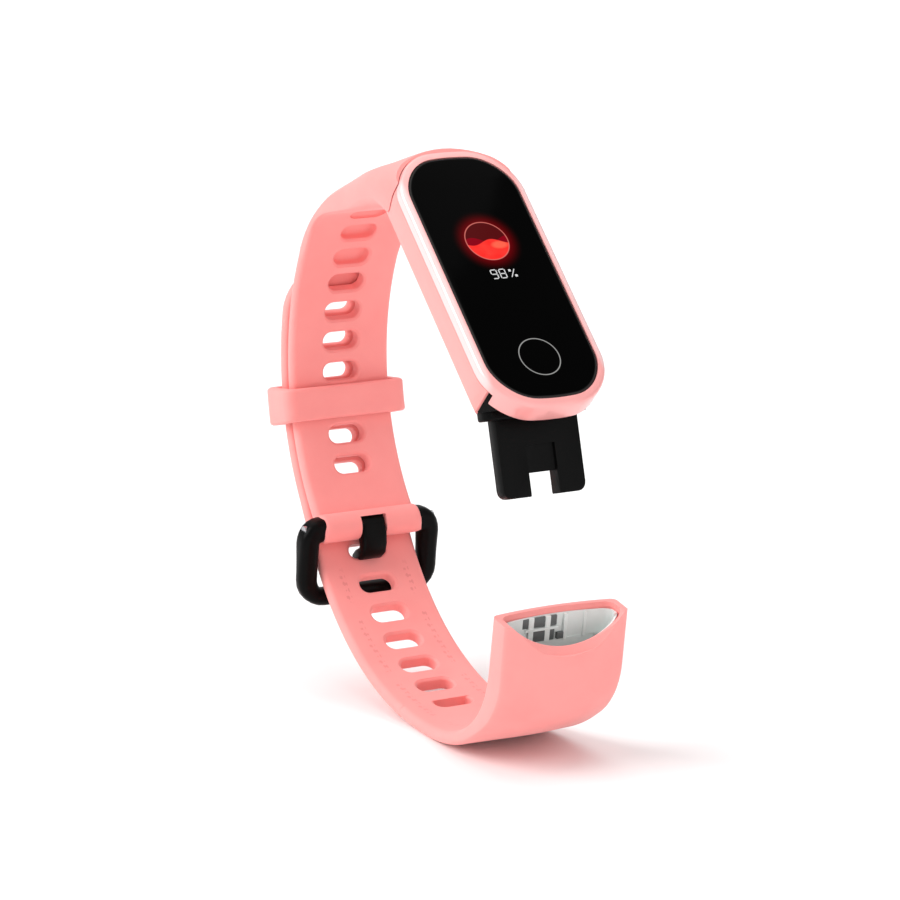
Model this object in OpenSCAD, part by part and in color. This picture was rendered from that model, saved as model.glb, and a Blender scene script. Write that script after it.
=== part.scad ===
// Fitness tracker band: a slim display capsule whose angled plug closes the wrist loop.
// Millimetres, +Z up, X along the wrist, the display leans back and faces -Y.

/* [Display capsule] */
// width of the capsule across the wrist
case_width = 18.5; // [18.4:0.05:18.6]
// length of the capsule over its rounded ends
case_length = 41.8; // [41.7:0.05:41.9]
// backward lean of the display
display_tilt = 44.05; // [44:0.05:44.1]
// width of the cover glass
glass_width = 16.4; // [16.3:0.05:16.5]
// length of the cover glass
glass_length = 39.4; // [39.3:0.05:39.5]
// depth of the bezel band along the sides
bezel_depth = 1.6; // [1.55:0.05:1.65]
// depth of the bezel wall at the plug end
bezel_nose = 3.6; // [3.5:0.1:3.7]
// radius of the rounded underside
belly_radius = 10.72; // [10.7:0.01:10.75]

/* [Plug] */
// width of the plug blade
plug_width = 12.3; // [12.1:0.05:12.4]
// thickness of the plug blade
plug_thick = 2.2; // [2.1:0.05:2.3]
// lean of the plug from vertical
plug_tilt = 15; // [14.9:0.05:15.1]
// width of the open slot in the plug tip
tip_slot = 4.3; // [4.2:0.05:4.4]

/* [Straps] */
// width of the straps
strap_width = 15.5; // [15.3:0.1:15.7]
// thickness of the straps
strap_thick = 1.9; // [1.85:0.05:1.95]
// length of a strap slot across the strap
slot_width = 5.5; // [5.2:0.1:5.7]
// size of a strap slot along the strap
slot_length = 2.6; // [2.4:0.1:2.7]
// width of the socket end
socket_width = 18.5; // [18.3:0.1:18.6]
// width of the keeper loop
keeper_width = 19.2; // [19.1:0.1:19.4]

/* [Buckle] */
// overall width of the buckle frame
buckle_width = 22; // [21.8:0.1:22.2]
// radius of the buckle pin
pin_radius = 0.75; // [0.73:0.01:0.76]
// width of the prong
prong_width = 3.8; // [3.6:0.1:3.9]

/* [Hidden] */
$fn = 64;
// centre of the strap arc on the far side of the wrist
cb = [12.2, -18.5];
// inner and outer radius of the buckle strap and of the long strap on that arc
ra_in = 33.3;
ra_out = ra_in + strap_thick;
rb_in = 35.5;
rb_out = rb_in + strap_thick;
rb_mid = (rb_in + rb_out) / 2;
// shoulder arcs of the buckle strap, each tangent to the one before
c2_r = 22;
c2 = cb + (ra_out - c2_r) * [cos(26), sin(26)];
c3_r = 80;
c3 = c2 - (c3_r - c2_r) * [cos(62.5), sin(62.5)];
// radius of the capsule's slightly rounded ends
end_r = 34;
// straight run of the long strap past the buckle, then the loop's bottom arc
run_len = 8;
run_a = cb + rb_mid * [cos(-30), sin(-30)];
run_b = run_a + run_len * [sin(-30), -cos(-30)];
c4_mid = 37.1;
c4 = run_b - c4_mid * [cos(-30), sin(-30)];
c4_in = c4_mid - strap_thick / 2;
c4_out = c4_mid + strap_thick / 2;
// socket frame: origin between the rim corners, lean from vertical
os = [-15.2, -42.0];
socket_tilt = 9;
sock_out = 2.95;
sock_in = 2.5;
// long outer and inner bends into the socket
c5_r = 11;
c5 = [-6.029, -48.445];
c6_r = 14;
c6 = [2.24, -46.6];
// plug frame
plug_off = 2.98;
tip_w = 29.06;
// buckle
pin_c = [37.4, -41.0];
bar_c = [38.4, -51.0];
// lug that carries the buckle strap
lug_c = [18.8, 9.4];
lug_tilt = -8;
// row frame: origin at the middle of the underside of the bounding box
keeper_in = 31.7;
keeper_out = 39.0;
shift_y = -16.42;
shift_z = c4_out - c4[1];

// which sub-part to draw

// ---------- frames ----------

module place() translate([0, shift_y, shift_z]) children();

// x across, y towards the rear end, z out of the glass
module capsule() place() rotate([display_tilt, 0, 0]) children();

// z up along the plug, -y outwards
module plug() place() rotate([-plug_tilt, 0, 0]) translate([0, -plug_off, 0]) children();

// z up along the socket, -y outwards
module socket() place() translate([0, os[0], os[1]]) rotate([socket_tilt, 0, 0]) children();

// a side profile in (y, z) drawn out along x
module across(x0, x1) translate([x0, 0, 0]) rotate([90, 0, 90])
    linear_extrude(height = x1 - x0) children();

// a box from one corner to the other
module box(a, b) translate(a) cube(b - a);

// ---------- outlines ----------

module rounded(w, l, r) union() {
    square([w - 2 * r, l], center = true);
    square([w, l - 2 * r], center = true);
    for (x = [-1, 1], y = [-1, 1]) translate([x * (w / 2 - r), y * (l / 2 - r)]) circle(r);
}

module slab(w, l, r, z0, z1) translate([0, 0, z0]) linear_extrude(height = z1 - z0) rounded(w, l, r);

module shell_outline(w, l, r) intersection() {
    rounded(w, l, r);
    translate([0, l / 2 - end_r]) circle(end_r, $fn = 240);
    translate([0, end_r - l / 2]) circle(end_r, $fn = 240);
}

module shell(w, l, r, z0, z1) translate([0, 0, z0]) linear_extrude(height = z1 - z0)
    shell_outline(w, l, r);

module disc(c, r) translate(c) circle(r);

// points along an arc, so that a strap's side can be walked round in one outline
function arc(c, r, a0, a1) = let (n = ceil(abs(a1 - a0) / 2.5))
    [for (i = [0 : n]) c + r * [cos(a0 + (a1 - a0) * i / n), sin(a0 + (a1 - a0) * i / n)]];

// a slot through a strap, drawn along a radius of the arc round c
module strap_slot(c, a, r0, r1) translate([0, c[0], c[1]]) rotate([a, 0, 0]) rotate([-90, 0, 0])
    translate([0, 0, r0]) linear_extrude(height = r1 - r0) union() {
        square([slot_width - slot_length, slot_length], center = true);
        for (s = [-1, 1]) translate([s * (slot_width - slot_length) / 2, 0]) circle(slot_length / 2);
    }

// ---------- capsule shell ----------

module bezel_frame() color([0.98, 0.68, 0.66]) difference() {
    capsule() difference() {
        union() {
            shell(case_width, case_length, 6.4, -bezel_depth, 0);
            intersection() {
                shell(case_width, case_length, 6.4, -bezel_nose, -bezel_depth);
                box([-12, -25, -9], [12, -17.4, 0]);
            }
        }
        shell(glass_width + 0.1, glass_length + 0.1, 5.45, -0.95, 1);
        shell(glass_width - 1, glass_length - 1, 5, -10, 1);
    }
    plug() box([-7.85, -1.75, -30], [7.85, 1.6, -10]);
}

module case_hull(grow) intersection() {
    shell(case_width + 2 * grow, case_length - 0.4 + 2 * grow, 6.2 + grow, -11, -bezel_depth - 0.05);
    translate([0, 40, 0.42]) rotate([90, 0, 0]) cylinder(r = belly_radius + grow, h = 80);
}

module lower_case() color([1.0, 0.62, 0.60]) {
    difference() {
        capsule() difference() {
            case_hull(0);
            case_hull(-1.2);
            box([-12, -25, -12], [12, -16.6, 0]);
            slab(8.6, 12.6, 1.9, -9.1, -8.5);
            slab(7.1, 11.1, 1.3, -12, -8.5);
        }
        plug() box([-12, -20, -30], [12, 20, -18.6]);
        plug() box([-12, 1.2, -30], [12, 20, -15.2]);
        plug() box([-7.95, -1.8, -30], [7.95, 1.6, -10]);
        place() translate([0, lug_c[0], lug_c[1]]) rotate([lug_tilt, 0, 0])
            union() {
                box([-5.1, -6, -1.2], [5.1, 6, 1.2]);
                box([-4.0, 1.2, -1.9], [4.0, 9, 0]);
            }
    }
}

module display_glass() color([0.02, 0.02, 0.03]) capsule()
    shell(glass_width, glass_length, 5.4, -0.9, 0);

module display_panel() color([0.05, 0.05, 0.07]) capsule()
    slab(13.6, 34.6, 5.4, -2.0, -0.95);

module display_gasket() color([0.12, 0.12, 0.13]) capsule() difference() {
    slab(15.2, 38.2, 6.9, -1.5, -0.95);
    slab(13.8, 34.8, 5.5, -3, 0);
}

module inner_frame() color([0.3, 0.3, 0.32]) capsule() difference() {
    slab(15.0, 37.6, 6.5, -2.9, -2.1);
    translate([0, 6, 0]) slab(9, 12, 2, -4, 0);
    box([-3, -19, -4], [3, -14.2, 0]);
}

module main_board() color([0.05, 0.3, 0.2]) capsule() difference() {
    slab(14.2, 35, 5.6, -3.8, -3.0);
    box([-12, -25, -9], [12, -14.5, 0]);
}

module board_chips() color([0.09, 0.09, 0.1]) capsule() {
    box([-3.8, 13.5, -5.0], [-0.6, 15.5, -3.85]);
    box([0.2, 13.5, -4.8], [3.6, 15.3, -3.85]);
    box([-6.2, -12.0, -4.7], [-3.9, -9.4, -3.85]);
    box([3.9, -12.0, -4.9], [6.2, -9.4, -3.85]);
    box([-2.4, -4.4, -4.15], [2.4, -1.4, -3.85]);
}

module battery() color([0.75, 0.76, 0.78]) capsule() difference() {
    translate([0, 6, 0]) slab(10.4, 14.6, 1.2, -7.2, -4.25);
    box([-2.2, 12.9, -5.4], [2.2, 14, -4]);
}

module motor_case() color([0.78, 0.78, 0.8]) capsule() translate([0, -7.9, 0]) difference() {
    translate([0, 0, -6.9]) cylinder(r = 3.6, h = 2.7);
    translate([0, 0, -6.6]) cylinder(r = 3.3, h = 2.1);
}

module motor_shaft() color([0.7, 0.7, 0.72]) capsule() translate([0, -7.9, -6.6])
    cylinder(r = 0.4, h = 2.1);

module motor_weight() color([0.55, 0.5, 0.4]) capsule() translate([0, -7.9, -6.4]) difference() {
    cylinder(r = 2.9, h = 1.7);
    translate([0, 0, -1]) cylinder(r = 0.45, h = 4);
    box([-4, -4, 0.5], [4, -0.7, 3]);
}

module display_flex() color([0.75, 0.45, 0.15]) capsule() {
    box([-1.3, -17.39, -2.05], [1.3, -17.32, -0.97]);
    box([-1.3, -17.39, -3.35], [1.3, -17.15, -2.05]);
    box([-1.3, -17.15, -3.35], [1.3, -14.6, -3.2]);
}

module sensor_board() color([0.06, 0.25, 0.4]) capsule() slab(7.6, 11.6, 1.5, -8.0, -7.4);

module sensor_leds() color([0.9, 0.9, 0.85]) capsule() {
    for (y = [-3.6, 3.6]) box([-1.1, y - 0.9, -8.5], [1.1, y + 0.9, -8.02]);
    box([-1.3, -1.2, -8.45], [1.3, 1.2, -8.02]);
}

module light_shield() color([0.1, 0.1, 0.1]) capsule() difference() {
    slab(5.6, 10.2, 1.0, -8.58, -8.05);
    for (y = [-3.6, 3.6]) box([-1.5, y - 1.2, -9], [1.5, y + 1.2, -7]);
    box([-1.6, -1.6, -9], [1.6, 1.6, -7]);
}

module sensor_window() color([0.03, 0.03, 0.04]) capsule() {
    slab(8.4, 12.4, 1.8, -9.0, -8.62);
    slab(7.0, 11.0, 1.25, -11.5, -9.0);
}

module antenna() color([0.8, 0.6, 0.25]) capsule() difference() {
    slab(13.4, 34.2, 5.2, -4.3, -3.86);
    slab(12.6, 33.4, 4.8, -5, -3);
    box([-12, -25, -9], [12, 8, 0]);
    box([-6, 13, -9], [6, 15.6, 0]);
}

// ---------- plug ----------

module plug_flange() color([0.05, 0.05, 0.06]) difference() {
    union() {
        plug() translate([0, -0.1, -18.8]) linear_extrude(height = 3.35) rounded(15.5, 3.1, 1.2);
        intersection() {
            capsule() intersection() {
                case_hull(-0.3);
                difference() {
                    box([-12, -25, -12], [12, -16.65, -bezel_depth - 0.1]);
                    box([-12, -25, -bezel_nose - 0.05], [12, -17.35, 0]);
                    slab(15.4, 38.2, 6.6, -3.95, 0);
                }
            }
            plug() union() {
                box([-12, -20, -17.6], [12, 20, 5]);
                box([-7.95, -2.1, -18.8], [7.95, 1.3, 5]);
            }
        }
    }
    plug() box([-plug_width / 2 - 0.05, -1.15, -30], [plug_width / 2 + 0.05, 1.15, 0]);
}

module plug_blade() color([0.04, 0.04, 0.05]) plug() difference() {
    box([-plug_width / 2, -plug_thick / 2, -tip_w], [plug_width / 2, plug_thick / 2, -14.4]);
    box([-tip_slot / 2, -3, -40], [tip_slot / 2, 3, -26]);
    box([-tip_slot / 2, -3, -26], [tip_slot / 2, -0.5, -22.4]);
    for (x = [-3.6, -1.2, 1.2, 3.6]) box([x - 0.55, 0.8, -27.4], [x + 0.55, 3, -14.6]);
    for (s = [-1, 1]) translate([s * plug_width / 2, 0, -tip_w]) rotate([90, 45, 0])
        translate([0, 0, -4]) linear_extrude(height = 8) square(1.1, center = true);
}

module plug_contacts() color([0.95, 0.78, 0.35]) plug() {
    for (x = [-3.6, -1.2, 1.2, 3.6]) {
        box([x - 0.5, 0.82, x * x > 4 ? -27.0 : -25.8], [x + 0.5, 1.08, -14.7]);
    }
}

module plug_board() color([0.05, 0.3, 0.2]) plug()
    box([-5, -0.45, -14.3], [5, 0.45, -13.4]);

// ---------- straps ----------

module strap_lug() color([0.06, 0.06, 0.07]) place() translate([0, lug_c[0], lug_c[1]])
    rotate([lug_tilt, 0, 0]) difference() {
        box([-5, -2.9, -1.1], [5, 3.5, 1.1]);
        for (x = [-3.2, 3.2]) box([x - 0.8, 1.6, -3], [x + 0.8, 2.8, -0.6]);
    }

module buckle_strap_side() {
    polygon(concat(arc(cb, ra_out, -38.5, 26), arc(c2, c2_r, 28, 62.5), arc(c3, c3_r, 63.5, 84),
        [[8, 4], [17.5, 7.3]], arc([33.6, -2.8], 6.95, 79.5, 22), arc(cb, ra_in, 32, -38.5)));
    disc(pin_c, 2.05);
    polygon([cb + ra_in * [cos(-37), sin(-37)], cb + ra_out * [cos(-37), sin(-37)],
        pin_c + 1.7 * [cos(5), sin(5)], pin_c + 1.7 * [cos(175), sin(175)]]);
}

module buckle_strap() color([1.0, 0.60, 0.58]) {
    difference() {
        place() intersection() {
            across(-10, 10) buckle_strap_side();
            translate([0, 0, -80]) linear_extrude(height = 120) polygon([
                [-case_width / 2, -40], [case_width / 2, -40], [case_width / 2, 17],
                [strap_width / 2, 31], [strap_width / 2, 60], [-strap_width / 2, 60],
                [-strap_width / 2, 31], [-case_width / 2, 17]]);
        }
        capsule() shell(case_width + 0.2, case_length + 0.2, 6.5, -40, 30);
        capsule() box([-20, -60, -60], [20, 15.2, 60]);
        capsule() box([-20, 0, -0.6], [20, 40, 20]);
        place() translate([0, lug_c[0], lug_c[1]]) rotate([lug_tilt, 0, 0])
            box([-5.3, -8, -1.4], [5.3, 4.0, 1.4]);
        place() translate([0, lug_c[0], lug_c[1]]) rotate([lug_tilt, 0, 0])
            box([-4.6, 1.1, -1.9], [4.6, 4.45, 1.2]);
        place() for (k = [3 : 9]) strap_slot(cb, 42.4 - 7.62 * k, 28, 40);
        place() for (k = [0 : 2]) strap_slot(cb, 42.0 - 7.62 * k, 26, k == 0 ? 31.6 : 34.2);
        place() translate([0, pin_c[0], pin_c[1]]) rotate([0, 90, 0])
            cylinder(r = pin_radius + 0.05, h = 40, center = true);
        place() box([-2.3, 33.6, -45], [2.3, 44, -38.3]);
    }
}

module strap_clip() color([0.8, 0.8, 0.8]) place() translate([0, lug_c[0], lug_c[1]])
    rotate([lug_tilt, 0, 0]) {
        box([-4.5, 3.75, -1.8], [4.5, 4.35, 1.1]);
        for (x = [-3.2, 3.2]) box([x - 0.5, 1.9, -1.8], [x + 0.5, 3.8, -1.2]);
    }

module buckle_pin() color([0.5, 0.5, 0.52]) place() translate([0, pin_c[0], pin_c[1]])
    rotate([0, 90, 0]) cylinder(r = pin_radius, h = buckle_width - 1.4, center = true);

module frame_side() {
    disc(pin_c, 1.7);
    disc(bar_c, 1.35);
    polygon([pin_c + [-1.55, -0.5], pin_c + [1.69, 0], bar_c + [1.35, 0], bar_c + [-1.35, 0]]);
}

module buckle_frame() color([0.04, 0.04, 0.04]) place() {
    difference() {
        union() {
            for (s = [-1, 1]) across(s * (buckle_width / 2 - 1.15) - 1.15, s * (buckle_width / 2 - 1.15) + 1.15)
                frame_side();
            across(-buckle_width / 2, buckle_width / 2) disc(bar_c, 1.35);
        }
        translate([0, pin_c[0], pin_c[1]]) rotate([0, 90, 0])
            cylinder(r = pin_radius + 0.06, h = buckle_width - 1.0, center = true);
        for (s = [-1, 1]) translate([s * buckle_width / 2, 0, bar_c[1] - 1.35]) rotate([0, 45, 0])
            cube([2.2, 120, 2.2], center = true);
    }
}

module prong_side() polygon(concat(arc(pin_c, 1.6, -46, 188), [[35.1, -43.2], [34.8, -44.6],
    [35.2, -45.0], [39.2, -46.95], [40.05, -45.7], [38.1, -44.45], [38.0, -43.8], [38.5, -42.6]]));

module buckle_prong() color([0.04, 0.04, 0.04]) place() difference() {
    across(-prong_width / 2, prong_width / 2) prong_side();
    translate([0, pin_c[0], pin_c[1]]) rotate([0, 90, 0])
        cylinder(r = pin_radius + 0.06, h = 40, center = true);
}

module keeper_side(r0, r1, a0, a1) polygon(concat(arc(cb, r1, a0, a1), arc(cb, r0, a1, a0)));

module keeper_loop() color([1.0, 0.60, 0.58]) place() difference() {
    across(-keeper_width / 2, keeper_width / 2) keeper_side(keeper_in, keeper_out, -14.6, -6.4);
    across(-8.15, 8.15) keeper_side(keeper_in + 1.2, keeper_out - 1.2, -20, 0);
}

module long_side() polygon(concat(arc(cb, rb_out, 22.6, -30), arc(c4, c4_out, -30, -61.3),
    arc(c4, c4_in, -61.3, -30), arc(cb, rb_in, -30, 22.6)));

module strap_tail() color([1.0, 0.60, 0.58]) place() difference() {
    intersection() {
        across(-strap_width / 2, strap_width / 2) long_side();
        union() {
            translate([0, cb[0], cb[1]]) rotate([10.6, 0, 0]) rotate([-90, 0, 0])
                cylinder(r = strap_width / 2, h = 60);
            translate([0, cb[0], cb[1]]) rotate([10.6, 0, 0]) box([-20, -80, -90], [20, 60, 0]);
        }
    }
    for (k = [0 : 5]) strap_slot(cb, 11.92 - 7.62 * k, 34, 40);
    for (k = [0 : 3]) strap_slot(c4, -33.5 - 8 * k, 34, 42);
}

// a point of the socket frame in the side view, t outwards and v down from the rim
function sp(t, v) = os + [-t * cos(socket_tilt) + v * sin(socket_tilt),
    -t * sin(socket_tilt) - v * cos(socket_tilt)];

// side outline of the lower loop and the socket end, outside and back along the inside
module low_side() polygon(concat(arc(c4, c4_out, -61.8, -119), arc(c5, c5_r, -121.5, -171),
    [sp(sock_out, 0), sp(-sock_in, -0.6)],
    arc(c6, c6_r, -171, -105), arc(c4, c4_in, -104.1, -61.8)));

module plan_low() translate([0, 0, -90]) linear_extrude(height = 120) polygon([
    [-socket_width / 2, -40], [socket_width / 2, -40], [socket_width / 2, -8], [strap_width / 2, 12],
    [strap_width / 2, 60], [-strap_width / 2, 60], [-strap_width / 2, 12], [-socket_width / 2, -8]]);

// the long strap's second cut, parallel to the socket's travel
module half_b(side, gap) polygon([for (s = [[0, -40], [0, 60], [90, 60], [90, -40]])
    sp(-13.2 - side * (s[0] + gap), s[1])]);

module strap_loop() color([1.0, 0.60, 0.58]) place() difference() {
    intersection() {
        across(-12, 12) difference() {
            low_side();
            half_b(-1, -0.15);
        }
        plan_low();
    }
    for (k = [4 : 6]) strap_slot(c4, -33.5 - 8 * k, 34, 42);
}

module rim_cut(v, r) translate([0, -12, r - v]) rotate([-90, 0, 0]) cylinder(r = r, h = 11.2);

module mouth(w, t0, t1, r, v0, v1) translate([0, -(t0 + t1) / 2, -v1])
    linear_extrude(height = v1 - v0) rounded(w, t1 - t0, r);

module strap_end() color([1.0, 0.60, 0.58]) difference() {
    place() intersection() {
        across(-12, 12) difference() {
            low_side();
            half_b(1, -0.15);
        }
        plan_low();
    }
    socket() {
        rim_cut(3.4, 12);
        mouth(16.8, -2.05, 2.25, 1.6, -3, 4.3);
        mouth(14.2, -1.85, 1.85, 0.6, -3, 11.5);
        mouth(13.0, -1.4, 1.4, 0.3, -3, 12.4);
        box([-1.85, -2.5, -11.9], [1.85, 0, -5.7]);
    }
}

module socket_liner() color([0.85, 0.87, 0.86]) socket() difference() {
    union() {
        mouth(16.7, -2.0, 2.2, 1.55, 0.6, 4.25);
        mouth(14.1, -1.8, 1.8, 0.55, 4.2, 11.45);
    }
    mouth(16.1, -1.7, 1.9, 1.35, -3, 4.15);
    mouth(13.1, -1.42, 1.42, 0.3, -3, 30);
    rim_cut(3.9, 12);
    box([-1.8, -3, -12], [1.8, -1.3, -5.7]);
}

module socket_rib() color([0.8, 0.82, 0.82]) socket()
    box([-1.8, -1.3, -12.35], [1.8, 1.3, -10.1]);

module latch_spring() color([0.6, 0.62, 0.62]) socket() {
    box([-1.5, -1.95, -11.6], [1.5, -1.45, -6.0]);
    box([-1.3, -1.5, -7.8], [1.3, -0.8, -6.4]);
}

bezel_frame();
lower_case();
display_glass();
display_panel();
display_gasket();
inner_frame();
main_board();
board_chips();
battery();
motor_case();
motor_shaft();
motor_weight();
display_flex();
sensor_board();
sensor_leds();
sensor_window();
light_shield();
antenna();
plug_flange();
plug_blade();
plug_contacts();
plug_board();
strap_lug();
buckle_strap();
strap_clip();
buckle_pin();
buckle_frame();
buckle_prong();
keeper_loop();
strap_tail();
strap_loop();
strap_end();
socket_liner();
socket_rib();
latch_spring();
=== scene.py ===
"""Looks of the fitness tracker band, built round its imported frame."""
import logging
import math
from dataclasses import dataclass, field
from enum import Enum
from typing import Callable, Iterable, Optional, Sequence

import bmesh
import bpy
from mathutils import Matrix, Vector


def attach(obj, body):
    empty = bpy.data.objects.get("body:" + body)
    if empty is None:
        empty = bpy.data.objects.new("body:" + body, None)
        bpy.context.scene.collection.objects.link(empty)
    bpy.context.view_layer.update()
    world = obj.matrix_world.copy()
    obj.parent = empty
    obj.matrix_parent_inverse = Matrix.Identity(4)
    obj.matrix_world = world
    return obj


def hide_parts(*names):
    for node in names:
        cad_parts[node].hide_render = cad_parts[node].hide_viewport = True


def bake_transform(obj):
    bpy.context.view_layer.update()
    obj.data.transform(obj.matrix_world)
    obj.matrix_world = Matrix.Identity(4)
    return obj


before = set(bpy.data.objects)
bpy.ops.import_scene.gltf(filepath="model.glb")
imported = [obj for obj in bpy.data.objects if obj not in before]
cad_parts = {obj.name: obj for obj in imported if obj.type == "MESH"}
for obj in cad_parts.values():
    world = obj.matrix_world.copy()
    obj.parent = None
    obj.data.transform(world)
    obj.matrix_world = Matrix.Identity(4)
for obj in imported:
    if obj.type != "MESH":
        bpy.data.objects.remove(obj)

log = logging.getLogger("band")
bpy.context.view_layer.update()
MM = 0.001
SHIFT = Vector((0.0, -16.42, 63.1532))
Point2 = tuple[float, float]


def ray(angle: float) -> Vector:
    """The side view's unit direction at an angle in degrees, as (0, y, z)."""
    return Vector((0.0, math.cos(math.radians(angle)), math.sin(math.radians(angle))))


def side(y: float, z: float) -> Vector:
    """A side view point as a vector in the middle plane."""
    return Vector((0.0, y, z))


def ease(low: float, high: float, value: float) -> float:
    """Smooth step from 0 at low to 1 at high, which may lie below low."""
    t = min(max((value - low) / (high - low), 0.0), 1.0)
    return t * t * (3 - 2 * t)


@dataclass(frozen=True)
class Stand:
    """A local frame of the band: x across, y and z turned about x by a tilt."""

    tilt: float = 0.0
    origin: Point2 = (0.0, 0.0)

    def matrix(self) -> Matrix:
        """Local millimetres to row metres."""
        place = Matrix.Translation((SHIFT + side(*self.origin)) * MM)
        return place @ Matrix.Rotation(math.radians(self.tilt), 4, "X") @ Matrix.Scale(MM, 4)

    def at(self, x: float, y: float, z: float) -> Vector:
        """A local point in millimetres, in the row frame in metres."""
        return self.matrix() @ Vector((x, y, z))


LOOP = Stand()
CAPSULE = Stand(44.05)
PLUG = Stand(-15.0, (-2.98 * math.cos(math.radians(15)), 2.98 * math.sin(math.radians(15))))
SOCKET = Stand(9.0, (-15.2, -42.0))
LUG = Stand(-8.0, (18.8, 9.4))

BOW = 1.2
PITCH = 7.62
HALF = 7.75
BELLY_Z = 0.42
OPENING = (15.4, 38.4, 5.0)

CB = side(12.2, -18.5)
C4 = side(7.63708, -25.1032)
PIN = side(37.4, -41.0)
BAR = side(38.4, -51.0)


# ---------------------------------------------------------------- meshes


@dataclass(frozen=True)
class Section:
    """One rounded rectangle that a loft passes through."""

    centre: Vector
    across: Vector
    along: Vector
    width: float
    length: float
    radius: float
    crown_out: float = 0.0
    crown_in: float = 0.0

    def place(self, x: float, y: float, cx: float, cy: float) -> Vector:
        """The place of an outline point.

        Args:
            x: Side of the point across, from -1 to 1, on the square inside the corners.
            y: Side of the point along, from -1 to 1, on the same square.
            cx: Direction of the corner arc across.
            cy: Direction of the corner arc along.

        Returns:
            The point in the loft's own millimetres.
        """
        r = min(self.radius, self.width / 2 - 1e-4, self.length / 2 - 1e-4)
        px = x * (self.width / 2 - r) + cx * r
        py = y * (self.length / 2 - r) + cy * r
        share = (px / (self.width / 2)) ** 2
        py *= 1 - (self.crown_out if py > 0 else self.crown_in) * share / (self.length / 2)
        return self.centre + self.across * px + self.along * py


@dataclass
class Loft:
    """A skin through rounded rectangles, extruded from one to the next."""

    corner: int = 5
    wide: int = 6
    deep: int = 1

    def pattern(self) -> list[tuple[float, float, float, float]]:
        """The outline's points in order, each as (x, y, cx, cy) of Section.place."""
        points = []
        for quarter in range(4):
            sx = 1.0 if quarter in (0, 3) else -1.0
            sy = 1.0 if quarter in (0, 1) else -1.0
            for i in range(self.corner + 1):
                a = math.radians(quarter * 90 + 90 * i / self.corner)
                points.append((sx, sy, math.cos(a), math.sin(a)))
            steps = self.wide if quarter in (0, 2) else self.deep
            for i in range(1, steps):
                t = 1 - 2 * i / steps
                flat = {0: (t, 1, 0, 1), 1: (-1, t, -1, 0), 2: (-t, -1, 0, -1), 3: (1, -t, 1, 0)}
                points.append(tuple(float(v) for v in flat[quarter]))
        return points

    def build(self, sections: Sequence[Section]) -> bmesh.types.BMesh:
        """Extrudes one outline through every section.

        Args:
            sections: The rounded rectangles in order.

        Returns:
            A closed mesh with outward faces.
        """
        bm = bmesh.new()
        pattern = self.pattern()
        last = list(bmesh.ops.create_circle(bm, segments=len(pattern), radius=1.0)["verts"])
        self._move(last, pattern, sections[0])
        edges = last_edges = list(bm.edges)
        for section in sections[1:]:
            made = bmesh.ops.extrude_edge_only(bm, edges=last_edges)["geom"]
            fresh = {e for e in made if isinstance(e, bmesh.types.BMEdge)}
            verts = {v for v in made if isinstance(v, bmesh.types.BMVert)}
            last = [next(e.other_vert(v) for e in v.link_edges if e.other_vert(v) in verts) for v in last]
            last_edges = [e for e in fresh if e.verts[0] in verts and e.verts[1] in verts]
            self._move(last, pattern, section)
        for end in (edges, last_edges):
            bmesh.ops.contextual_create(bm, geom=end)
        bmesh.ops.recalc_face_normals(bm, faces=bm.faces)
        return bm

    @staticmethod
    def _move(verts: Sequence[bmesh.types.BMVert], pattern: Sequence[tuple], section: Section) -> None:
        """Puts a ring of vertices on a section."""
        for v, p in zip(verts, pattern):
            v.co = section.place(*p)


X, Y, Z = Vector((1, 0, 0)), Vector((0, 1, 0)), Vector((0, 0, 1))


def stack(levels: Iterable[tuple[float, float, float, float]], y: float = 0.0, x: float = 0.0,
          fine: int = 6, bow: float = 0.0) -> bmesh.types.BMesh:
    """A block built up along z.

    Args:
        levels: Each level as (z, width, length, corner radius).
        y: Middle of the block along y.
        x: Middle of the block along x.
        fine: Segments of each corner.
        bow: How far the ends curve back at their sides.

    Returns:
        The block's mesh.
    """
    sections = [Section(Vector((x, y, z)), X, Y, w, l, r, crown_out=bow, crown_in=bow) for z, w, l, r in levels]
    return Loft(corner=fine, wide=10 if bow else 2, deep=2).build(sections)


def soft_block(w: float, l: float, r: float, z0: float, z1: float, low: float = 0.2, high: float = 0.2,
               y: float = 0.0, x: float = 0.0, fine: int = 6, steps: int = 3,
               bow: float = 0.0) -> bmesh.types.BMesh:
    """A block along z whose two end edges are rounded.

    Args:
        w: Width.
        l: Length.
        r: Corner radius of its outline.
        z0: Lower end.
        z1: Upper end.
        low: Rounding at the lower end.
        high: Rounding at the upper end.
        y: Middle along y.
        x: Middle along x.
        fine: Segments of each outline corner.
        steps: Segments of each rounding.
        bow: How far the ends curve back at their sides.

    Returns:
        The block's mesh.
    """
    turns = [math.pi / 2 * i / steps for i in range(steps + 1)]
    cuts = [(z0 + low * (1 - math.cos(a)), low * (1 - math.sin(a))) for a in turns]
    cuts += [(z1 - high * (1 - math.sin(a)), high * (1 - math.cos(a))) for a in turns]
    return stack([(z, w - 2 * cut, l - 2 * cut, max(r - cut, 0.05)) for z, cut in cuts], y, x, fine, bow)


def block(z0: float, z1: float, w: float, l: float, r: float, y: float = 0.0, x: float = 0.0,
          fine: int = 1, bow: float = 0.0) -> bmesh.types.BMesh:
    """A straight block from z0 to z1, of width w, length l and corner radius r."""
    return stack([(z0, w, l, r), (z1, w, l, r)], y, x, fine, bow)


def tube(spots: Iterable[tuple[Vector, float]], across: Vector, up: Vector, corner: int) -> bmesh.types.BMesh:
    """A round bar through spots, each a centre and a radius."""
    sections = [Section(spot, across, up, 2 * r, 2 * r, r) for spot, r in spots]
    return Loft(corner=corner, wide=1, deep=1).build(sections)


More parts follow.
